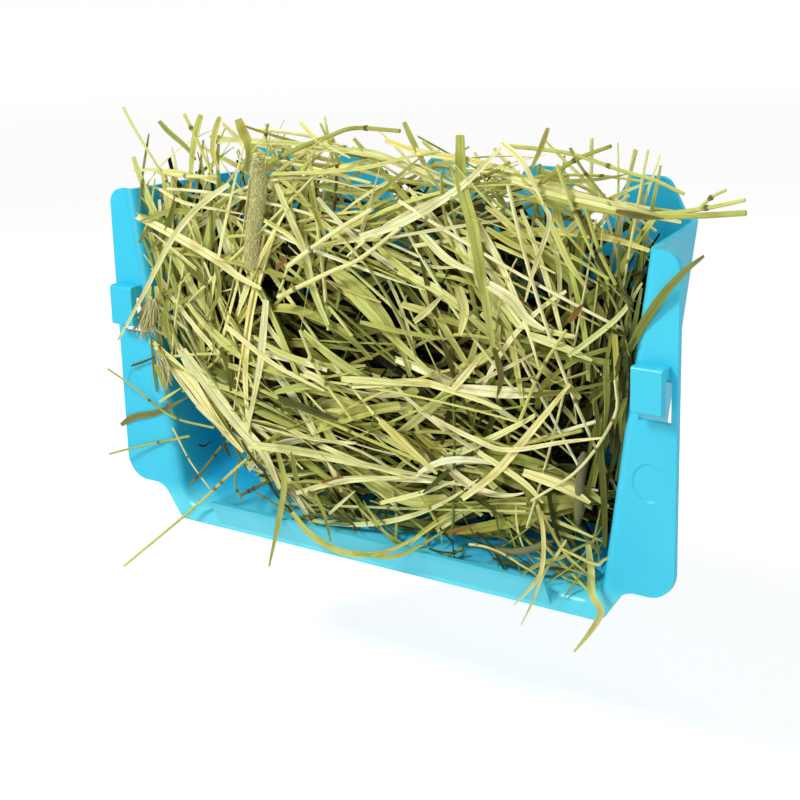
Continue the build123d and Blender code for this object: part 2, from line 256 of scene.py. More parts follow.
class Nodes:
    """Small helper that adds and joins the nodes of one material."""

    def __init__(self, name):
        self.material = bpy.data.materials.new(name)
        self.material.use_nodes = True
        self.tree = self.material.node_tree
        self.shader = self.tree.nodes["Principled BSDF"]

    def add(self, kind, **values):
        """Adds a node; each value sets a property of it or, if it has none by that name, an input."""
        node = self.tree.nodes.new(kind)
        for key, value in values.items():
            if hasattr(node, key):
                setattr(node, key, value)
            else:
                node.inputs[key.replace("_", " ")].default_value = value
        return node

    def link(self, source, target):
        self.tree.links.new(source, target)

    def surface(self, **values):
        """Sets values of the material's shader."""
        for key, value in values.items():
            self.shader.inputs[key.replace("_", " ")].default_value = value

    def ramp(self, factor, stops):
        """A colour ramp with (position, linear colour) stops."""
        node = self.add("ShaderNodeValToRGB")
        elements = node.color_ramp.elements
        while len(elements) < len(stops):
            elements.new(0.5)
        for element, (position, colour) in zip(elements, stops):
            element.position = position
            element.color = (*colour, 1)
        self.link(factor, node.inputs["Fac"])
        return node.outputs["Color"]

    def blend(self, a, b, factor):
        """A colour between two, by a factor from 0 to 1."""
        node = self.add("ShaderNodeMix", data_type="RGBA")
        self.link(factor, node.inputs["Factor"])
        self.link(a, node.inputs["A"])
        self.link(b, node.inputs["B"])
        return node.outputs["Result"]

    def tone(self, a, b):
        """One colour times another."""
        node = self.add("ShaderNodeMix", data_type="RGBA", blend_type="MULTIPLY")
        node.inputs["Factor"].default_value = 1.0
        self.link(a, node.inputs["A"])
        self.link(b, node.inputs["B"])
        return node.outputs["Result"]

    def product(self, a, b):
        node = self.add("ShaderNodeMath", operation="MULTIPLY")
        self.link(a, node.inputs[0])
        self.link(b, node.inputs[1])
        return node.outputs["Value"]

    def noise(self, place, **values):
        node = self.add("ShaderNodeTexNoise", **values)
        self.link(place, node.inputs["Vector"])
        return node.outputs["Fac"]

    def mapped(self, value, reach=(0.0, 1.0), result=(0.0, 1.0)):
        """A value's share of a reach, or the same share of the way between two results."""
        ends = zip(("From_Min", "From_Max", "To_Min", "To_Max"), (*reach, *result))
        node = self.add("ShaderNodeMapRange", **dict(ends))
        self.link(value, node.inputs["Value"])
        return node.outputs["Result"]

    def stretched(self, place, scale):
        node = self.add("ShaderNodeMapping")
        node.inputs["Scale"].default_value = scale
        self.link(place, node.inputs["Vector"])
        return node.outputs["Vector"]

    def bump(self, height, strength, distance):
        node = self.add("ShaderNodeBump", Strength=strength, Distance=distance)
        self.link(height, node.inputs["Height"])
        self.link(node.outputs["Normal"], self.shader.inputs["Normal"])


def plastic_material():
    """Sky-blue moulded polypropylene: satin, with flow shading and a fine mould grain, painted shade inside
    the bay and painted light on the lip.
    """
    n = Nodes("moulded_blue_plastic")
    geometry = n.add("ShaderNodeNewGeometry")
    place = geometry.outputs["Position"]
    flow = n.noise(place, Scale=14.0, Detail=3.0, Roughness=0.5)
    face, inside, lip = (
        n.ramp(flow, tuple(zip(FLOW_STOPS, map(linear, colours))))
        for colours in (PLASTIC_FACE, PLASTIC_PAINTED_SHADE, PLASTIC_LIP_LIGHT)
    )
    split = n.add("ShaderNodeSeparateXYZ")
    n.link(place, split.inputs["Vector"])
    inward = n.add("ShaderNodeVectorMath", operation="SUBTRACT")
    inward.inputs[0].default_value = BAY_CENTRE
    n.link(place, inward.inputs[1])
    facing = n.add("ShaderNodeVectorMath", operation="DOT_PRODUCT")
    n.link(inward.outputs["Vector"], facing.inputs[0])
    n.link(geometry.outputs["Normal"], facing.inputs[1])
    # painted shade: deeper blue on inner surfaces that face the bay's centre, less towards the crest
    deep = n.mapped(split.outputs["Y"], SHADE_DEPTH)
    turned = n.mapped(facing.outputs["Value"], SHADE_TURN)
    lower = n.mapped(split.outputs["Z"], SHADE_HEIGHT, (1.0, SHADE_CREST_SHARE))
    share = n.product(n.product(deep, turned), lower)
    # painted light: the plastic paler on the lip below the flange
    outside = n.blend(face, lip, n.mapped(split.outputs["Z"], LIP_LIGHT_HEIGHT, (0.0, LIP_LIGHT_SHARE)))
    n.link(n.blend(outside, inside, share), n.shader.inputs["Base Color"])
    grain = n.noise(place, Scale=1800.0, Detail=2.0, Roughness=0.6)
    n.link(n.mapped(grain, result=PLASTIC_ROUGHNESS), n.shader.inputs["Roughness"])
    n.surface(Specular_IOR_Level=0.45, Subsurface_Weight=0.12)
    n.surface(Subsurface_Radius=(0.6, 1.0, 1.4), Subsurface_Scale=0.0015)
    n.bump(grain, 0.06, 0.0004)
    return n.material


def hay_material(name, streak, rough, rib):
    """Dry grass: the strand's own colour, fibre streaks along it and a dark midrib."""
    n = Nodes(name)
    colour = n.add("ShaderNodeAttribute", attribute_name="hay_colour").outputs["Color"]
    along = n.add("ShaderNodeAttribute", attribute_name="strand").outputs["Vector"]
    streaks = n.noise(n.stretched(along, (3.2, 0.05, 1.0)), Scale=1.6, Detail=4.0, Roughness=0.62)
    low, high = 1 - streak, 1 + streak * 0.45
    toned = n.tone(colour, n.ramp(streaks, ((0.28, (low, low, low * 0.92)), (0.68, (high, high, high)))))
    stains = n.noise(n.stretched(along, (0.2, 0.06, 1.0)), Scale=1.3, Detail=2.0)
    toned = n.tone(toned, n.ramp(stains, ((0.32, (0.78, 0.74, 0.62)), (0.5, (1.0, 1.0, 1.0)))))
    if rib:
        split = n.add("ShaderNodeSeparateXYZ")
        n.link(along, split.inputs["Vector"])
        side = n.add("ShaderNodeMath", operation="ABSOLUTE")
        n.link(split.outputs["X"], side.inputs[0])
        midrib = n.ramp(side.outputs["Value"], ((0.06, (0.74, 0.74, 0.62)), (0.2, (1.0, 1.0, 1.0))))
        toned = n.tone(toned, midrib)
    n.link(toned, n.shader.inputs["Base Color"])
    n.surface(Roughness=rough, Specular_IOR_Level=0.14)
    n.bump(streaks, 0.5, 0.0003)
    return n.material


# ---- Strand geometry ----


def bay_half_width(y, z):
    """Half the clear width between the side walls at a depth and a height."""
    return OPENING_TOP_HALF + SIDE_LEAN * (z - FLANGE_TOP) - SIDE_DRAFT * (y - FACE)


def floor_height(y):
    """Height of the sloping floor at a depth."""
    return FLOOR_FRONT + FLOOR_RISE * (y - FACE)


def ramp_colour(level):
    """A hay colour between dark and pale, in linear values."""
    stops = np.array([linear(c) for c in HAY_RAMP])
    place = np.clip(level, 0, 1) * (len(stops) - 1)
    low = min(int(place), len(stops) - 2)
    return stops[low] + (stops[low + 1] - stops[low]) * (place - low)


def tinted(colour):
    """A colour drawn a little towards green or straw."""
    shift = np.clip(rng.normal(-0.012, 0.045), -0.08, 0.08)
    return np.clip(colour * np.array((1 + shift, 1 - 0.2 * abs(shift), 1 - 0.8 * shift)), 0, 1)


def turns(roll, twist):
    """A leaf's roll at its root and its twist on the way, drawn with these spreads."""
    return {"roll": rng.normal(0, roll), "twist": rng.normal(0, twist)}


def smooth_line(points, count):
    """Points along a smooth curve through a few given points."""
    p = np.asarray(points, float)
    p = np.vstack((2 * p[0] - p[1], p, 2 * p[-1] - p[-2]))
    steps = np.linspace(0, len(p) - 3, count)
    i = np.minimum(steps.astype(int), len(p) - 4)
    t = (steps - i)[:, None]
    a, b, c, d = p[i], p[i + 1], p[i + 2], p[i + 3]
    return 0.5 * (2 * b + (c - a) * t + (2 * a - 5 * b + 4 * c - d) * t**2 + (3 * b - a - 3 * c + d) * t**3)


def resample(line, places):
    """Points at given shares of a line's length, and the lengths run up to them."""
    gaps = np.linalg.norm(np.diff(line, axis=0), axis=1)
    run = np.concatenate(((0,), np.cumsum(gaps)))
    want = np.asarray(places) * run[-1]
    return np.stack([np.interp(want, run, line[:, k]) for k in range(3)], axis=1), want


def line_frames(line, facing=TOWARDS_PANEL, roll=0.0, twist=0.0):
    """Width and normal directions along a line, with a roll that grows along it."""
    tangent = np.gradient(line, axis=0)
    tangent /= np.linalg.norm(tangent, axis=1)[:, None] + 1e-9
    across = np.cross(np.asarray(facing, float), tangent)
    across /= np.linalg.norm(across, axis=1)[:, None] + 1e-9
    normal = np.cross(tangent, across)
    angle = (roll + twist * np.linspace(0, 1, len(line)))[:, None]
    return across * np.cos(angle) + normal * np.sin(angle), normal * np.cos(angle) - across * np.sin(angle)


def round_rings(centre, radius, sides):
    """Rings of points round a line, and the turn of each point."""
    across, normal = line_frames(centre)
    turn = np.linspace(0, 2 * math.pi, sides, endpoint=False)
    ring = across[:, None] * np.cos(turn)[None, :, None] + normal[:, None] * np.sin(turn)[None, :, None]
    return centre[:, None] + ring * radius[:, None, None], turn


class Hay:
    """Strands of hay that become one mesh, with a colour and a place along the strand per point."""

    def __init__(self):
        self.points = []
        self.faces = []
        self.colours = []
        self.strands = []
        self.count = 0

    def add(self, points, faces, colours, strands):
        """Adds one strand's points and faces, with a colour and a strand place per point."""
        self.points.append(points)
        self.faces.append(np.asarray(faces) + self.count)
        self.colours.append(colours)
        self.strands.append(strands)
        self.count += len(points)

    def tube(self, rings, colours, strands):
        """Joins equal rings of points, an array of (rings, points, 3), into a closed tube."""
        n, k = rings.shape[:2]
        i, j = np.meshgrid(np.arange(n - 1), np.arange(k), indexing="ij")
        right = (j + 1) % k
        quads = np.stack((i * k + j, i * k + right, (i + 1) * k + right, (i + 1) * k + j), axis=-1)
        ends = np.array([(m, k - 1 - m, k - 2 - m, m + 1) for m in range(k // 2 - 1)])
        faces = np.vstack((quads.reshape(-1, 4), ends, ends[:, ::-1] + (n - 1) * k))
        self.add(rings.reshape(-1, 3), faces, colours.reshape(-1, 3), strands.reshape(-1, 3))

    def blade(
        self, line, width, colour, fold=0.25, roll=0.0, twist=0.0, root=0.5, tip=0.1, facing=TOWARDS_PANEL
    ):
        """A grass leaf: a thin folded ribbon, widest past its root, drawn out to its tip."""
        share = np.linspace(0, 1, len(line))
        across, normal = line_frames(line, facing, roll, twist)
        swell = (1 - (1 - root) * (1 - share) ** 4) * (1 - (1 - tip) * share**2.6)
        half = (width / 2 * swell)[:, None]
        sink = normal * half * fold
        lift = normal * LEAF_THICKNESS / 2
        left = line - across * half
        right = line + across * half
        middle = line - sink
        upper = (left + lift, middle + lift, right + lift)
        lower = (right - lift, middle - lift, left - lift)
        rings = np.stack((*upper, *lower), 1)
        length = np.concatenate(((0,), np.cumsum(np.linalg.norm(np.diff(line, axis=0), axis=1))))
        sides = np.array((-1, 0, 1, 1, 0, -1), float)
        seed = rng.uniform(0, 90)
        strands = np.stack(np.broadcast_arrays(sides[None, :], length[:, None], seed), -1)
        pale = ramp_colour(0.86)
        pale = pale * np.mean(colour) / np.mean(pale)
        fade = (0.25 * share**2)[:, None, None]
        self.tube(rings, np.broadcast_to(colour, rings.shape) * (1 - fade) + pale * fade, strands)

    def stem(self, line, thickness, colour, nodes=()):
        """A round stalk with swollen dark joints."""
        node_half = JOINT_HALF / max(1e-6, np.linalg.norm(np.diff(line, axis=0), axis=1).sum())
        places = list(np.linspace(0, 1, len(line)))
        for node in nodes:
            places += [node - 2 * node_half, node - node_half * 0.6, node, node + node_half]
        places = np.clip(np.sort(places), 0, 1)
        centre, length = resample(line, places)
        radius = thickness / 2 * (1 - (1 - STALK_TAPER) * places)
        tint = np.zeros(len(places))
        for node in nodes:
            near = np.abs(places - node) < node_half * 0.7
            radius = np.where(near, radius * 1.35, radius)
            tint = np.where(near, 0.8, tint)
        rings, turn = round_rings(centre, radius, 6)
        seed = rng.uniform(0, 90)
        strands = np.stack(np.broadcast_arrays(np.cos(turn)[None, :], length[:, None], seed), -1)
        tint = tint[:, None, None]
        colours = np.broadcast_to(colour, rings.shape) * (1 - tint) + linear(NODE_BROWN) * tint
        self.tube(rings, colours, strands)

    def head(self, line, radius, green, shade, count):
        """A timothy seed head: a core covered with small pointed spikelets in spirals."""
        share = np.linspace(0, 1, HEAD_RINGS)
        centre, _ = resample(line, share)
        across, normal = line_frames(centre)
        body = radius * 0.78 * np.minimum(1, np.minimum(share * 9 + 0.3, (1 - share) * 5 + 0.12))
        rings, _ = round_rings(centre, body, 10)
        dark = np.broadcast_to(linear(HEAD_GREEN) * 0.8 * shade, rings.shape)
        self.tube(rings, dark, np.zeros(rings.shape))
        golden = math.pi * (3 - math.sqrt(5))
        for i in range(count):
            place = (i + 0.5) / count
            point, _ = resample(line, (place,))
            nearest = min(int(place * (HEAD_RINGS - 1)), HEAD_RINGS - 2)
            tangent = centre[nearest + 1] - centre[nearest]
            tangent /= np.linalg.norm(tangent)
            angle = i * golden + rng.uniform(-0.25, 0.25)
            out = across[nearest] * math.cos(angle) + normal[nearest] * math.sin(angle)
            swell = min(1, place * 9 + 0.35, (1 - place) * 5 + 0.2)
            length = radius * rng.uniform(0.4, 0.6)
            base = point[0] + out * radius * 0.6 * swell
            aim = out * rng.uniform(0.55, 0.95) + tangent * rng.uniform(0.5, 0.9)
            aim /= np.linalg.norm(aim)
            side = np.cross(aim, out)
            side /= np.linalg.norm(side) + 1e-9
            lift = np.cross(side, aim)
            middle = base + aim * length * 0.45
            wide = radius * 0.1
            around = [middle + step * wide for step in (side, lift, -side, -lift)]
            points = np.array((base, *around, base + aim * length * swell**0.5))
            mix = np.clip(green + rng.normal(0, 0.22), 0, 1)
            colour = linear(HEAD_GREEN) * mix + linear(HEAD_STRAW) * (1 - mix)
            colours = np.tile(colour * shade * rng.uniform(0.85, 1.1), (6, 1))
            colours[0] *= 0.8
            colours[5] = colours[5] * 0.5 + linear(HEAD_STRAW) * shade * 0.5
            self.add(points, SPIKELET_FACES, colours, np.tile((0.0, place * 30, i * 0.37), (6, 1)))

    def piece(self, name, material, slot, *replaced):
        """Makes the mesh, rides it on the hay body and lets it stand for CAD nodes."""
        points = np.vstack(self.points) * MM
        faces = np.vstack(self.faces)
        polygons = [tuple(f[:3]) if f[2] == f[3] else tuple(f) for f in faces.tolist()]
        mesh = bpy.data.meshes.new(name)
        mesh.from_pydata(points.tolist(), [], polygons)
        colour = mesh.attributes.new("hay_colour", "FLOAT_COLOR", "POINT")
        colours = np.hstack((np.vstack(self.colours), np.ones((len(points), 1))))
        colour.data.foreach_set("color", colours.astype(np.float32).ravel())
        strand = mesh.attributes.new("strand", "FLOAT_VECTOR", "POINT")
        strand.data.foreach_set("vector", np.vstack(self.strands).astype(np.float32).ravel())
        mesh.polygons.foreach_set("use_smooth", np.ones(len(polygons), bool))
        mesh.update()
        mesh.set_sharp_from_angle(angle=math.radians(CREASE_ANGLE))
        mesh.materials.append(material)
        piece = add_object(name, mesh)
        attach(piece, "hay")
        if replaced:
            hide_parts(*replaced)


# ---- Loose hay in the bay ----


def flat_direction(u, v, angle):
    """The x, z place and the x-z direction behind an image position and a direction seen there."""
    step = 20 * np.array((math.cos(math.radians(angle)), -math.sin(math.radians(angle))))
    place = seen_at(u, v, HEAP_DEPTH)
    run = seen_at(u + step[0], v + step[1], HEAP_DEPTH) - place
    return place[0], place[2], math.atan2(run[2], run[0])


GRAIN = np.array([(*flat_direction(u, v, angle), math.radians(spread)) for u, v, angle, spread in HAY_GRAIN])
HOLLOW_PLACES = np.array(
    [(*seen_at(u, v, HEAP_DEPTH)[[0, 2]], radius / PIXELS_PER_MM) for u, v, radius in HOLLOWS]
)


def grain_angle(x, z):
    """A direction for a strand near (x, z), drawn from the nearest grain entries."""
    apart = (GRAIN[:, 0] - x) ** 2 + (GRAIN[:, 1] - z) ** 2
    weight = np.exp(-apart / (2 * GRAIN_REACH**2)) + 1e-9
    pick = GRAIN[rng.choice(len(GRAIN), p=weight / weight.sum())]
    return rng.normal(pick[2], pick[3])


def above_bare(x, z):
    """How far a place lies above the line of the bare corner."""
    return (x - BARE_SIDE[0]) * BARE_NORMAL[0] + (z - BARE_SIDE[1]) * BARE_NORMAL[1]


def confine(line, room, front, top):
    """Moves a line back inside the bay, whole first and then each point that still sticks out."""
    for _ in range(2):
        line = line + shift_inside(line, room, front, top)
    return push_inside(line, room, front, top)


def shift_inside(line, room, front, top):
    """The one shift that answers the line's furthest points outside the bay."""
    moved = push_inside(line, room, front, top) - line
    return moved.max(axis=0) + moved.min(axis=0)


def push_inside(line, room, front, top):
    """Pushes points back inside the bay, clear of its walls, floor and bare corner."""
    x, y, z = line.T.copy()
    y = np.clip(y, front, BAY_BACK - room)
    z = np.minimum(z, top - room)
    z = np.maximum(z, floor_height(y) + room * math.sqrt(1 + FLOOR_RISE**2))
    below = np.maximum(0, room - above_bare(x, z))
    x += BARE_NORMAL[0] * below
    z += BARE_NORMAL[1] * below
    corner = np.clip((floor_height(y) + CORNER_HEIGHT - z) / CORNER_HEIGHT, 0, 1) ** 2 * CORNER_INSET
    half = bay_half_width(y, z) - room - corner
    x = np.clip(x, -half, half)
    return np.stack((x, y, z), axis=1)


def wander(x, y, z, angle, length, bend, kink, slope, count=12):
    """A strand's centre line through (x, y, z): a bent run with an optional sharp kink."""
    share = np.linspace(-0.5, 0.5, count)
    turn = angle + bend * share + kink * (share > rng.uniform(-0.25, 0.25))
    step = length / (count - 1)
    xs = np.concatenate(((0,), np.cumsum(np.cos(turn[:-1]) * step)))
    zs = np.concatenate(((0,), np.cumsum(np.sin(turn[:-1]) * step)))
    middle = count // 2
    line = np.stack((x + xs - xs[middle], y + slope * share, z + zs - zs[middle]), axis=1)
    line[:, 1] += rng.uniform(-2.5, 2.5) * np.cos(share * math.pi)
    return line


def past(value, change):
    """How much of a change has come at a value, 0 to 1."""
    start, reach = change
    return np.clip((value - start) / reach, 0, 1)


def heap_point(cover):
    """A place for a strand's middle; cover is the heap's fullness at its top and at its sides."""
    while True:
        x, z = rng.uniform(-104, 106), rng.uniform(-80, 50)
        if above_bare(x, z) < 0 or abs(x) > bay_half_width(FACE, z) - 6:
            continue
        sides = max(past(-x, THINS_LEFT), past(x, THINS_RIGHT))
        fullness = (1 - past(z, THINS_UP) * (1 - cover[0])) * (1 - sides * (1 - cover[1]))
        if x > BARE_FOOT_END:
            fullness *= max(0.06, past(z, FILLS_UP))
        if x > SPARSE_CORNER[0] and z < SPARSE_CORNER[1]:
            fullness *= SPARSE_SHARE
        if rng.random() < fullness:
            return x, z


def hollow_share(line):
    """How much of a line crosses the heap's dark hollows, 1 from a third of its length on."""
    apart = np.hypot(line[:, 0, None] - HOLLOW_PLACES[:, 0], line[:, 2, None] - HOLLOW_PLACES[:, 1])
    return min(1.0, 3 * ((apart / HOLLOW_PLACES[:, 2]).min(axis=1) < 1).mean())


def fill_heap(blades, stems, count, depths, tones, cover):
    """Scatters strands through one depth of the heap, in tones from its front to its back, the darker back
    tones being painted shade.

    cover is the heap's fullness at its top and at its sides, and how open its hollows are.
    """
    for _ in range(count):
        x, z = heap_point(cover)
        depth = rng.uniform(*depths)
        share = (depth - depths[0]) / (depths[1] - depths[0])
        # painted shade: the tone darkens from the layer's front to its back
        tone = tones[0] + (tones[1] - tones[0]) * share + rng.normal(0, TONE_SPREAD)
        # painted light: paler towards the top and towards the foot
        tone += (0.2 + 0.35 * tones[0]) * past(z, PAINTED_LIGHT_UP) * (1 - tone)
        tone += FOOT_PAINTED_LIGHT * past(-z, PAINTED_LIGHT_DOWN) * (1 - tone)
        angle = grain_angle(x, z)
        is_stem = rng.random() < STALK_SHARE
        length = rng.uniform(*(STALK_LENGTH if is_stem else LEAF_LENGTH))
        bend = rng.normal(0, 0.22 if is_stem else 0.7)
        kink = rng.normal(0, 0.6) if rng.random() < 0.15 else 0.0
        line = wander(x, depth, z, angle, length, bend, kink, rng.normal(0, 5))
        if rng.random() < cover[2] * hollow_share(line):
            continue
        width = rng.uniform(0.8, 1.7) if is_stem else rng.gamma(5.0, 0.5) + 0.8
        line = confine(line, width / 2 + 0.4, depths[0] - 1.5, rng.uniform(38, 60))
        colour = tinted(ramp_colour(tone))
        if rng.random() < 0.03:
            colour = linear(OLIVE_BROWN) * rng.uniform(0.5, 1.2)
            width = min(width, 2.0)
        if is_stem:
            stems.stem(line, width, colour, nodes=rng.uniform(0.1, 0.9, rng.integers(0, 3)))
        else:
            blades.blade(
                line,
                width,
                colour,
                fold=rng.uniform(0.05, 0.6),
                **turns(0.5, 1.0),
                tip=rng.uniform(0.05, 0.6),
                facing=rng.normal(TOWARDS_PANEL, (0.35, 0, 0.35)),
            )


def crown(blades, stems, count):
    """Sparse single strands that stand and lie over the top of the heap."""
    for _ in range(count):
        x = rng.uniform(-100, 100)
        z = rng.uniform(38, 62)
        angle = grain_angle(x, 56)
        length = rng.uniform(30, 110)
        line = wander(x, rng.uniform(3, 24), z, angle, length, rng.normal(0, 0.45), 0.0, rng.normal(0, 8))
        width = rng.uniform(0.8, 2.6)
        line = confine(line, width / 2 + 0.4, 2.0, rng.uniform(58, HEAP_TOP))
        colour = ramp_colour(rng.uniform(0.55, 0.95))
        if rng.random() < 0.4:
            stems.stem(line, min(width, 1.5), colour, nodes=rng.uniform(0.1, 0.9, 1))
        else:
            blades.blade(line, width, colour, **turns(0.4, 0.8), tip=rng.uniform(0.05, 0.4))


def spill(blades, side, count, heights, tones, lean, furthest):
    """Leaves that bend out of the bay over the inner edge of one flange."""
    for _ in range(count):
        z = rng.uniform(*heights)
        edge = bay_half_width(FACE, z)
        angle = math.radians(rng.normal(lean, 28))
        length = rng.uniform(14, 34)
        reach = min(rng.uniform(-1, furthest), SPILL_LIMIT - edge - abs(rng.normal(0, 4)))
        tip = np.array((side * (edge + reach), rng.uniform(-0.3, SPILL_DEPTH), z))
        rise = -math.sin(angle) * rng.choice((-1, 1))
        root = tip + length * np.array((-side * abs(math.cos(angle)), 0, rise))
        root[1] = rng.uniform(4, 8)
        middle = (tip + root) / 2 + rng.normal(0, 1.4, 3)
        middle[1] = FACE if abs(middle[0]) > edge - 2 else rng.uniform(2.0, 4.0)
        line = smooth_line((root, middle, tip), 12)
        beyond = np.abs(line[:, 0]) > edge - 1
        line[:, 1] = np.where(beyond, np.minimum(line[:, 1], SPILL_DEPTH), line[:, 1])
        tone = rng.uniform(*tones)
        width = rng.uniform(1.0, 3.0)
        blades.blade(line, width, tinted(ramp_colour(tone)), roll=rng.normal(0, 0.3), tip=0.3)


def litter(blades, stems, count):
    """Short strands that lie on the floor between the heap's foot and the lip."""
    for _ in range(count):
        x = rng.uniform(-52, 94)
        y = rng.uniform(1.5, 15)
        z = floor_height(y) + rng.uniform(1.0, 9.0)
        angle = math.radians(rng.normal(-14, 36))
        length = rng.uniform(12, 42)
        line = wander(x, y, z, angle, length, rng.normal(0, 0.7), rng.normal(0, 0.4), rng.normal(0, 5))
        width = rng.uniform(0.7, 2.0)
        line = confine(line, width / 2 + 0.3, 1.2, HEAP_TOP)
        colour = tinted(ramp_colour(rng.uniform(0.2, 0.8)))
        if rng.random() < 0.35:
            stems.stem(line, min(width, 1.3), colour, nodes=rng.uniform(0.1, 0.9, 1))
        else:
            blades.blade(line, width, colour, fold=0.3, **turns(0.5, 0.9), tip=0.2)


def wall_leaves(blades, count):
    """Leaves that stand along the right wall."""
    for _ in range(count):
        z = rng.uniform(-42, 26)
        x = bay_half_width(FACE, z) - rng.uniform(1, 13)
        angle = math.radians(rng.normal(80, 9))
        depth, length = rng.uniform(3, 11), rng.uniform(25, 70)
        line = wander(x, depth, z, angle, length, rng.normal(0, 0.3), 0.0, rng.normal(0, 4))
        width = rng.uniform(1.0, 2.6)
        line = confine(line, width / 2 + 0.4, 2.5, 44)
        # painted shade: darker tones for the shade along the right wall
        colour = tinted(ramp_colour(rng.uniform(0.2, 0.55)))
        blades.blade(line, width, colour, fold=0.3, **turns(0.5, 0.6), tip=0.3)


def pack_bed(blades, count):
    """Leaves packed in the heel of the bay, behind the loose hay and up to the CAD bed's top."""
    low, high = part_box("hay_bed")
    for _ in range(count):
        x = rng.uniform(low.x, high.x) / MM
        y = rng.uniform(BED_FRONT + 1, BAY_BACK - 3)
        top = high.z / MM - BED_FALL * (x / BED_HALF) ** 2
        z = rng.uniform(floor_height(y), top)
        angle = rng.uniform(0, math.pi)
        length = rng.uniform(25, 70)
        line = wander(x, y, z, angle, length, rng.normal(0, 0.8), 0.0, rng.normal(0, 14), count=8)
        line = confine(line, 3.0, BED_FRONT, top)
        # painted shade: dark tones for the shade behind the loose hay
        colour = ramp_colour(rng.uniform(0.0, 0.35))
        width = rng.uniform(1.2, 3.2)
        blades.blade(line, width, colour, fold=0.3, roll=rng.uniform(-1.5, 1.5), twist=rng.normal(0, 1))


deep_blades, deep_stems = Hay(), Hay()
mid_blades, mid_stems = Hay(), Hay()
front_blades, front_stems = Hay(), Hay()
top_blades, top_stems = Hay(), Hay()
packed = Hay()

# painted shade: the deeper the layer, the darker its tones
fill_heap(deep_blades, deep_stems, 380, depths=(18.0, 30.0), tones=(0.08, 0.0), cover=(0.1, 0.3, 0.2))
fill_heap(mid_blades, mid_stems, 380, depths=(10.0, 18.0), tones=(0.36, 0.07), cover=(0.22, 0.55, 0.6))
fill_heap(front_blades, front_stems, 350, depths=(4.0, 10.0), tones=(0.86, 0.38), cover=(0.45, 0.8, 0.84))
crown(top_blades, top_stems, 135)
spill(front_blades, -1, 18, heights=(-24, 34), tones=(0.4, 0.9), lean=62, furthest=8)
# painted shade: the right spill is darker for the shade along the right wall
spill(front_blades, 1, 14, heights=(-8, 32), tones=(0.1, 0.5), lean=75, furthest=1)
litter(front_blades, front_stems, 64)
wall_leaves(front_blades, 24)
pack_bed(packed, 900)


# ---- Landmark strands, placed by where they show in the image ----
# Each entry: width in mm, tone from dark 0 to pale 1, image points from root to tip.

LEFT_LEAVES = (
    (3.8, 0.90, ((137, 216), (176, 236), (217, 260), (236, 275), (261, 289))),
    (2.4, 0.72, ((150, 286), (147, 308), (148, 330))),
    (2.2, 0.84, ((156, 286), (158, 306), (152, 330))),
    (2.6, 0.66, ((162, 290), (160, 312), (166, 338))),
    (2.0, 0.88, ((146, 292), (152, 312), (160, 326))),
    (2.4, 0.60, ((168, 300), (166, 322), (172, 352))),
    (2.2, 0.78, ((140, 296), (146, 314), (158, 332))),
    (2.4, 0.50, ((158, 330), (162, 352), (170, 376))),
    (2.6, 0.70, ((150, 232), (158, 262), (162, 292))),
    (2.2, 0.45, ((176, 196), (168, 226), (158, 252))),
    (1.6, 0.92, ((159, 189), (186, 203), (243, 214))),
    (2.6, 0.86, ((276, 184), (291, 220), (303, 247), (312, 274))),
    (2.2, 0.80, ((264, 220), (291, 237), (303, 253))),
    (2.4, 0.60, ((310, 186), (316, 212), (326, 239))),
    (3.4, 0.90, ((266, 300), (262, 345), (259, 370), (247, 432))),
    (2.0, 0.62, ((215, 262), (219, 291), (207, 320))),
    (4.2, 0.42, ((182, 250), (192, 268), (207, 285))),
    (2.2, 0.90, ((226, 327), (233, 332), (275, 365), (324, 391))),
    (3.8, 0.88, ((151, 340), (190, 383), (222, 428), (243, 452))),
    (4.8, 0.90, ((182, 350), (212, 391), (241, 428), (263, 452), (280, 489))),
    (3.0, 0.92, ((304, 373), (316, 378), (328, 388))),
    (4.2, 0.84, ((243, 444), (304, 452), (365, 465), (437, 478))),
    (3.0, 0.82, ((341, 379), (375, 381), (430, 386))),
    (2.4, 0.86, ((296, 493), (345, 481), (420, 477))),
    (2.0, 0.50, ((292, 452), (296, 477), (304, 493))),
    (1.4, 0.92, ((329, 514), (341, 503), (355, 491))),
    (2.4, 0.40, ((226, 356), (229, 370), (231, 392))),
    (3.0, 0.30, ((278, 398), (310, 410), (338, 420))),
)
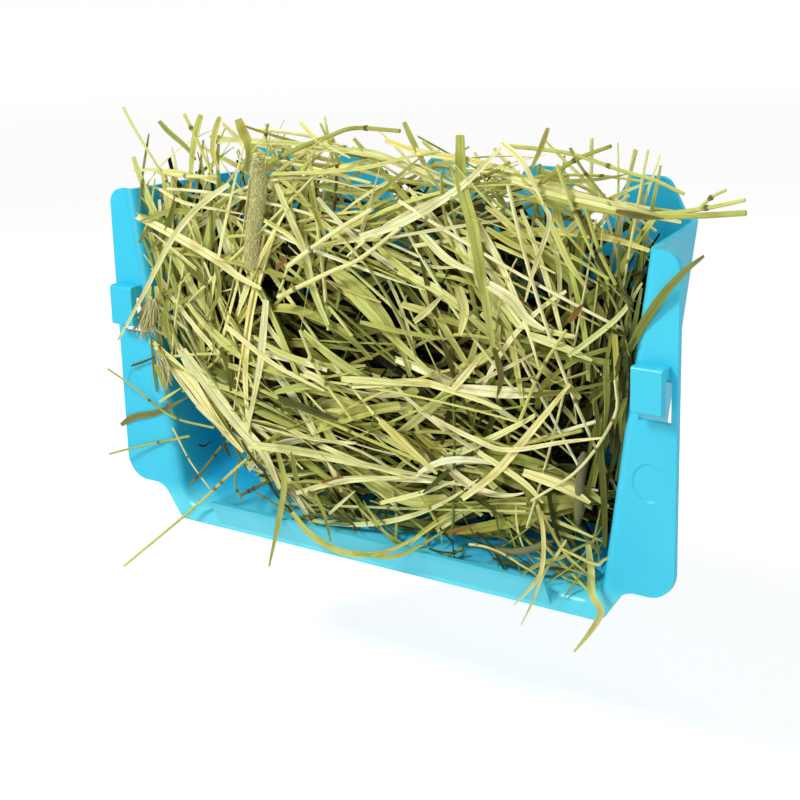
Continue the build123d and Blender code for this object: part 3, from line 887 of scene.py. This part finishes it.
RIGHT_LEAVES = (
    (3.2, 0.93, ((360, 237), (403, 222), (458, 189), (501, 148))),
    (2.4, 0.93, ((501, 142), (523, 163), (544, 205))),
    (1.8, 0.90, ((544, 205), (549, 224), (533, 272), (525, 302))),
    (4.2, 0.95, ((488, 284), (512, 300), (525, 317), (544, 330))),
    (3.2, 0.92, ((421, 233), (447, 259), (473, 272))),
    (3.6, 0.85, ((529, 335), (560, 346), (592, 361))),
    (2.2, 0.80, ((568, 356), (586, 343), (620, 315), (642, 283))),
    (2.6, 0.72, ((551, 224), (568, 261), (586, 287))),
    (2.2, 0.60, ((486, 228), (512, 244), (533, 254))),
    (2.0, 0.60, ((360, 322), (403, 332), (447, 339))),
    (3.0, 0.86, ((352, 386), (414, 382), (447, 389), (502, 409))),
    (2.8, 0.90, ((453, 389), (466, 374), (481, 356))),
    (4.0, 0.80, ((458, 287), (464, 311), (460, 335))),
    (2.5, 0.85, ((414, 322), (428, 310), (442, 296))),
    (2.0, 0.92, ((431, 417), (472, 438), (507, 450), (564, 442), (602, 438))),
    (3.2, 0.86, ((462, 499), (494, 474), (519, 446), (543, 417), (570, 384))),
    (2.8, 0.60, ((606, 360), (607, 401), (604, 440))),
    (3.0, 0.75, ((380, 421), (406, 446), (437, 474))),
    (2.4, 0.86, ((478, 452), (523, 482), (543, 503))),
    (4.0, 0.86, ((523, 472), (564, 487), (590, 503))),
    (2.0, 0.30, ((449, 470), (436, 482), (423, 493))),
    (2.0, 0.86, ((380, 503), (421, 493), (455, 481))),
    (2.2, 0.62, ((614, 326), (616, 360), (616, 400))),
)
LONG_LEAF = (
    (4.6, 0.62, ((460, 135), (462, 185), (473, 228), (484, 293), (494, 352))),
)
FRONT_STEMS = (
    (1.9, 0.90, ((288, 266), (330, 235), (372, 209))),
    (1.8, 0.86, ((278, 297), (330, 272), (358, 260), (400, 228))),
    (1.2, 0.84, ((278, 297), (283, 282), (288, 266))),
    (1.6, 0.60, ((586, 209), (599, 250), (616, 285))),
    (1.2, 0.92, ((615, 380), (615, 415), (580, 468), (531, 501))),
    (1.1, 0.55, ((144, 239), (152, 262), (163, 300), (180, 350))),
    (1.3, 0.80, ((300, 330), (318, 372), (352, 420))),
    (1.4, 0.70, ((520, 420), (540, 372), (566, 330))),
)
CROWN_LEAVES = (
    (2.2, 0.50, ((159, 121), (169, 132), (186, 147), (196, 160))),
    (3.0, 0.66, ((201, 115), (196, 132), (192, 157), (190, 190))),
    (2.5, 0.70, ((220, 117), (215, 132), (213, 153), (219, 170))),
    (4.0, 0.60, ((238, 119), (243, 132), (249, 147), (247, 172))),
    (2.2, 0.76, ((215, 142), (234, 140), (272, 142), (310, 145), (400, 161))),
    (2.0, 0.72, ((272, 174), (320, 172), (368, 167), (400, 159), (440, 150))),
    (3.6, 0.86, ((512, 179), (555, 192), (599, 202), (642, 213), (681, 222))),
    (2.6, 0.78, ((385, 140), (420, 152), (470, 160), (520, 172))),
    (2.0, 0.84, ((330, 150), (372, 152), (420, 170), (465, 190))),
    (2.2, 0.60, ((404, 122), (412, 140), (425, 165), (440, 190))),
    (2.0, 0.70, ((548, 128), (540, 150), (528, 175))),
    (1.8, 0.80, ((300, 122), (318, 140), (350, 158))),
)
CROWN_STEMS = (
    (1.1, 0.72, ((123, 107), (134, 128), (148, 151), (167, 182), (176, 200))),
    (1.4, 0.70, ((184, 114), (196, 138), (207, 163), (214, 180))),
    (1.8, 0.56, ((262, 166), (301, 147), (330, 136), (354, 128), (400, 131))),
    (1.5, 0.66, ((508, 146), (540, 149), (572, 154), (600, 163), (626, 172), (654, 180), (684, 194))),
    (2.3, 0.62, ((548, 196), (570, 203), (596, 209), (640, 215), (690, 216), (746, 213))),
    (1.6, 0.72, ((640, 216), (680, 212), (712, 207), (745, 200))),
    (1.2, 0.70, ((700, 208), (712, 197), (726, 190))),
    (1.6, 0.55, ((540, 184), (551, 176), (577, 159), (611, 146))),
    (1.2, 0.50, ((570, 148), (583, 170), (607, 200), (618, 215))),
    (1.0, 0.80, ((648, 150), (640, 192), (631, 241), (620, 306))),
    (1.2, 0.60, ((268, 124), (266, 138), (276, 160))),
)
OVER_PANEL = (  # these pass out between the panel's wires
    (2.6, 0.88, ((229, 184), (212, 196), (191, 214), (169, 244), (143, 295), (118, 340))),
    (3.3, 0.46, ((629, 350), (645, 321), (664, 294), (684, 272), (704, 256))),
)
LOW_LEFT_LEAVES = (
    (1.8, 0.84, ((150, 339), (162, 350), (175, 361), (190, 374))),
    (3.0, 0.60, ((156, 364), (162, 377), (166, 390))),
    (1.8, 0.90, ((162, 357), (178, 379), (202, 410), (225, 431))),
    (1.0, 0.30, ((131, 366), (143, 362), (155, 357))),
    (1.2, 0.72, ((159, 402), (170, 395), (181, 388))),
    (0.9, 0.50, ((166, 388), (171, 411), (177, 418))),
    (1.0, 0.10, ((198, 444), (204, 446), (211, 441))),
    (1.5, 0.24, ((224, 442), (227, 450), (230, 457))),
    (2.6, 0.34, ((160, 345), (170, 366), (188, 390), (196, 402))),
)
LOW_STRAYS = (
    (1.3, 0.70, ((247, 459), (231, 473), (206, 497), (182, 518), (124, 566))),
    (1.0, 0.60, ((214, 428), (171, 416), (131, 385), (108, 369))),
    (1.0, 0.60, ((190, 436), (141, 446), (109, 454))),
    (0.8, 0.85, ((173, 428), (190, 461), (210, 489))),
    (1.2, 0.42, ((222, 446), (206, 466), (190, 485))),
    (1.0, 0.50, ((239, 461), (235, 483), (241, 499))),
    (1.4, 0.36, ((269, 481), (255, 488), (241, 495))),
)
OVER_LIP = (
    (2.6, 0.62, ((278, 452), (284, 483), (278, 524), (269, 567))),
    (2.6, 0.64, ((292, 512), (308, 532), (330, 547), (358, 555), (388, 551), (422, 534))),
    (1.6, 0.50, ((314, 493), (324, 514), (331, 542))),
    (1.8, 0.80, ((537, 505), (543, 530), (542, 568), (532, 586), (514, 605))),
    (1.2, 0.60, ((541, 511), (564, 552), (590, 576))),
    (1.3, 0.84, ((566, 540), (556, 556), (543, 575), (531, 605), (521, 625))),
    (3.0, 0.74, ((588, 545), (591, 570), (592, 594), (601, 612), (590, 632), (574, 652))),
    (1.2, 0.70, ((560, 548), (594, 564), (604, 560), (619, 552))),
    (1.8, 0.58, ((352, 552), (388, 557), (412, 550), (444, 531))),
)
BROWN_LEAVES = (
    (3.0, OLIVE_LEAF, ((121, 425), (134, 417), (158, 412), (188, 397))),
    (2.6, OLIVE_BROWN, ((494, 348), (501, 376), (497, 398))),
    (2.5, BROWN, ((568, 322), (576, 313), (583, 304))),
    (2.4, OLIVE_BROWN, ((616, 211), (640, 216), (664, 219))),
    (1.8, BROWN, ((447, 533), (462, 529), (478, 523))),
    (2.0, BROWN, ((276, 269), (282, 263), (288, 255))),
    (1.3, BROWN, ((322, 483), (333, 479), (344, 476))),
)
SEED_HEADS = (
    # radius in mm, greenness, shade, spikelets, depth, image points from foot to tip
    (3.2, 0.80, 0.95, 1900, 3.0, ((250, 270), (254, 225), (259, 190), (257, 154))),
    (1.9, 0.80, 0.32, 420, 3.5, ((584, 452), (580, 482), (578, 524))),
    (1.5, 0.50, 0.36, 420, 4.5, ((492, 551), (523, 551), (553, 541))),
)
BRUSHES = (
    # bristles, the image place and half width of their feet, and of their tips
    (34, (151, 300), 5, (143, 338), 15),
    (16, (160, 352), 4, (168, 388), 7),
)


def image_line(points, near, far, count=20):
    """A smooth line through image positions, from one depth to another."""
    depths = np.linspace(near, far, len(points))
    return smooth_line([seen_at(u, v, d) for (u, v), d in zip(points, depths)], count)


def over_rim(points):
    """A line through image positions that leaves the bay over the lip's rim and hangs before it."""
    places = []
    for u, v in points:
        outside = seen_at(u, v, RIM_CLEAR)
        places.append(outside if outside[2] < RIM_TOP + RIM_NEAR else seen_at(u, v, RIM_BEHIND))
    return smooth_line(places, 24)


def place_leaves(hay, entries, near, far):
    """Leaves through image positions, each at its own depth near the one given."""
    for width, tone, points in entries:
        shift = rng.uniform(-0.6, 0.6)
        hay.blade(
            image_line(points, near + shift, far + shift),
            width,
            tinted(ramp_colour(tone)),
            fold=rng.uniform(0.1, 0.45),
            **turns(0.2, 0.35),
            root=0.65,
            tip=0.3,
            facing=TOWARDS_CAMERA,
        )


def place_stems(hay, entries, near, far):
    """Stalks through image positions, each with one or two joints."""
    for width, tone, points in entries:
        shift = rng.uniform(-0.6, 0.6)
        line = image_line(points, near + shift, far + shift)
        hay.stem(line, width, ramp_colour(tone), nodes=rng.uniform(0.15, 0.85, rng.integers(1, 3)))


def brush(hay, count, foot, foot_half, tip, tip_half):
    """Fine bristles that fan out from one image place to another."""
    for _ in range(count):
        spread = rng.uniform(-1, 1)
        start = (foot[0] + spread * foot_half, foot[1] + rng.uniform(-4, 8))
        end = (tip[0] + spread * tip_half + rng.normal(0, 2), tip[1] - 12 * abs(spread) + rng.uniform(-6, 6))
        bow = ((start[0] + end[0]) / 2 + rng.normal(0, 2.5), (start[1] + end[1]) / 2)
        line = image_line((start, bow, end), 0.8, rng.uniform(-2.6, 0.6), 8)
        width = rng.uniform(0.5, 1.1)
        hay.blade(line, width, tinted(linear(BRISTLE)) * rng.uniform(0.55, 1.0), fold=0.2, tip=0.2)


marks, mark_stems, strays, heads = Hay(), Hay(), Hay(), Hay()
place_leaves(marks, LEFT_LEAVES, 2.2, 2.2)
place_leaves(marks, RIGHT_LEAVES, 2.2, 2.2)
place_leaves(marks, LOW_LEFT_LEAVES, 0.6, 0.6)
place_leaves(marks, LONG_LEAF, 4.0, 1.5)
place_leaves(marks, CROWN_LEAVES, 4.5, 4.5)
place_leaves(marks, OVER_PANEL[:1], 1.5, -12.5)
place_leaves(marks, OVER_PANEL[1:], 1.5, -3.5)
place_stems(mark_stems, FRONT_STEMS, 1.8, 1.8)
place_stems(strays, CROWN_STEMS, 5.0, 5.0)
place_stems(strays, LOW_STRAYS, 3.0, -3.5)
for width, tone, points in OVER_LIP:
    colour = tinted(ramp_colour(tone))
    strays.blade(over_rim(points), width, colour, fold=0.35, root=0.6, tip=0.25, facing=TOWARDS_CAMERA)
for width, colour, points in BROWN_LEAVES:
    line = image_line(points, 1.0, 1.0)
    marks.blade(line, width, linear(colour), fold=0.15, twist=0.2, facing=TOWARDS_CAMERA)
for radius, green, shade, count, depth, points in SEED_HEADS:
    heads.head(image_line(points, depth, depth, 30), radius, green, shade, count)
for entry in BRUSHES:
    brush(marks, *entry)


# ---- Pieces ----

# finish and slot
leaf = (hay_material("dry_leaf", 0.28, 0.55, True), "hay_leaf")
stalk = (hay_material("dry_stalk", 0.22, 0.45, False), "hay_stalk")
packed_leaf = (hay_material("packed_leaf", 0.35, 0.7, True), "packed_hay")
seed_head = (hay_material("seed_head", 0.1, 0.8, False), "seed_head")

deep_blades.piece("deep_leaves", *leaf, "hay_leaves_03")
mid_blades.piece("middle_leaves", *leaf, "hay_leaves_06")
front_blades.piece("near_leaves", *leaf, "hay_leaves_09")
deep_stems.piece("deep_stalks", *stalk, "hay_stalks_01", "hay_stalks_02")
mid_stems.piece("middle_stalks", *stalk, "hay_stalks_04", "hay_stalks_05", "hay_stalks_07")
front_stems.piece("near_stalks", *stalk, "hay_stalks_08", "hay_stalks_10", "hay_stalks_11")
top_blades.piece("crown_leaves", *leaf)
top_stems.piece("crown_stalks", *stalk)
packed.piece("packed_leaves", *packed_leaf, "hay_bed")
marks.piece("front_leaves", *leaf, "hay_front_leaves")
mark_stems.piece("front_stalks", *stalk)
strays.piece("stray_stalks", *stalk, "hay_strays")
heads.piece("seed_heads", *seed_head, "timothy_head")

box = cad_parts["feeder_box"]
box.data.materials.clear()
box.data.materials.append(plastic_material())

# ---- Stage ----


def add_floor():
    """A wide round pale floor that keeps the object's shadow and glows to the camera alone."""
    turn = np.linspace(0, 2 * math.pi, 96, endpoint=False)
    rim = [(FLOOR_RADIUS * math.cos(t), FLOOR_RADIUS * math.sin(t), FLOOR_LEVEL * MM) for t in turn]
    mesh = bpy.data.meshes.new("floor")
    mesh.from_pydata(rim, [], [tuple(range(len(rim)))])
    n = Nodes("pale_floor")
    n.surface(Base_Color=(FLOOR_GREY, FLOOR_GREY, FLOOR_GREY, 1), Emission_Color=(1, 1, 1, 1))
    n.surface(Roughness=0.9, Specular_IOR_Level=0.1)
    path = n.add("ShaderNodeLightPath")
    reach = n.add("ShaderNodeVectorMath", operation="LENGTH")
    n.link(n.add("ShaderNodeNewGeometry").outputs["Position"], reach.inputs[0])
    glow = n.mapped(reach.outputs["Value"], GLOW_REACH, GLOW_STRENGTH)
    n.link(n.product(path.outputs["Is Camera Ray"], glow), n.shader.inputs["Emission Strength"])
    mesh.materials.append(n.material)
    floor = add_object("floor", mesh)


def add_world():
    """White to the camera, soft even light elsewhere."""
    world = bpy.data.worlds.new("studio")
    world.use_nodes = True
    tree = world.node_tree
    output = tree.nodes["World Output"]
    soft = tree.nodes["Background"]
    soft.inputs["Color"].default_value = SOFT_LIGHT
    soft.inputs["Strength"].default_value = SOFT_STRENGTH
    white = tree.nodes.new("ShaderNodeBackground")
    white.inputs["Color"].default_value = (1, 1, 1, 1)
    path = tree.nodes.new("ShaderNodeLightPath")
    mix = tree.nodes.new("ShaderNodeMixShader")
    tree.links.new(path.outputs["Is Camera Ray"], mix.inputs["Fac"])
    tree.links.new(soft.outputs["Background"], mix.inputs[1])
    tree.links.new(white.outputs["Background"], mix.inputs[2])
    tree.links.new(mix.outputs["Shader"], output.inputs["Surface"])
    bpy.context.scene.world = world


def add_lamp(name, place, aim, size, power):
    """A square area lamp; place and aim in metres."""
    data = bpy.data.lights.new(name, "AREA")
    data.size = size
    data.energy = power
    lamp = add_object(name, data)
    direction = Vector(aim) - Vector(place)
    turn = direction.to_track_quat("-Z", "Y").to_matrix().to_4x4()
    lamp.matrix_world = Matrix.Translation(place) @ turn


add_camera()
add_world()
add_floor()
for lamp in LAMPS:
    add_lamp(*lamp)

bpy.context.scene.view_settings.view_transform = "Standard"
